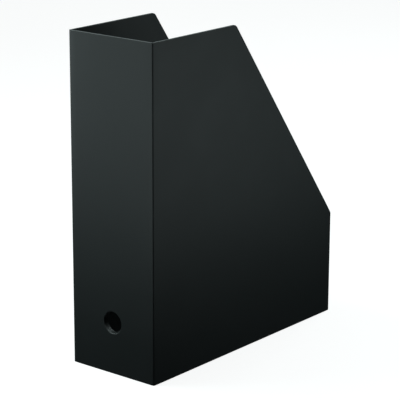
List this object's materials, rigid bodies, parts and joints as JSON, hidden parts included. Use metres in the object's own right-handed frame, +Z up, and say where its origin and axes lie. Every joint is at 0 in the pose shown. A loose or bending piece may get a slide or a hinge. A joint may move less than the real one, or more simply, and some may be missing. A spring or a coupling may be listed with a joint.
{
  "type": "magazine file holder",
  "caption": "Narrow stand-up box for A4 papers with a tall front, sides cut down along a straight slant to a low rear wall, an open top, and a round finger hole low in the front.",
  "frame": {"origin": "middle of the footprint, on the surface that the holder stands on", "axes": "+Z up; +Y from the tall front sheet to the low rear sheet; +X across the holder, from its left side to its right as seen from the front"},
  "size_m": [0.1, 0.276, 0.318],
  "materials": {
    "wall_sheet": "satin black extruded polypropylene sheet",
    "weld": "melted black polypropylene",
    "moulding": "fine-textured moulded black polypropylene"
  },
  "bodies": {
    "root": {"front_sheet": "wall_sheet", "left_side_sheet": "wall_sheet", "right_side_sheet": "wall_sheet", "rear_sheet": "wall_sheet", "corner_weld_front_left": "weld", "corner_weld_front_right": "weld", "corner_weld_rear_right": "weld", "corner_weld_rear_left": "weld", "base_tray": "moulding", "finger_ring": "moulding"}
  },
  "joints": []
}
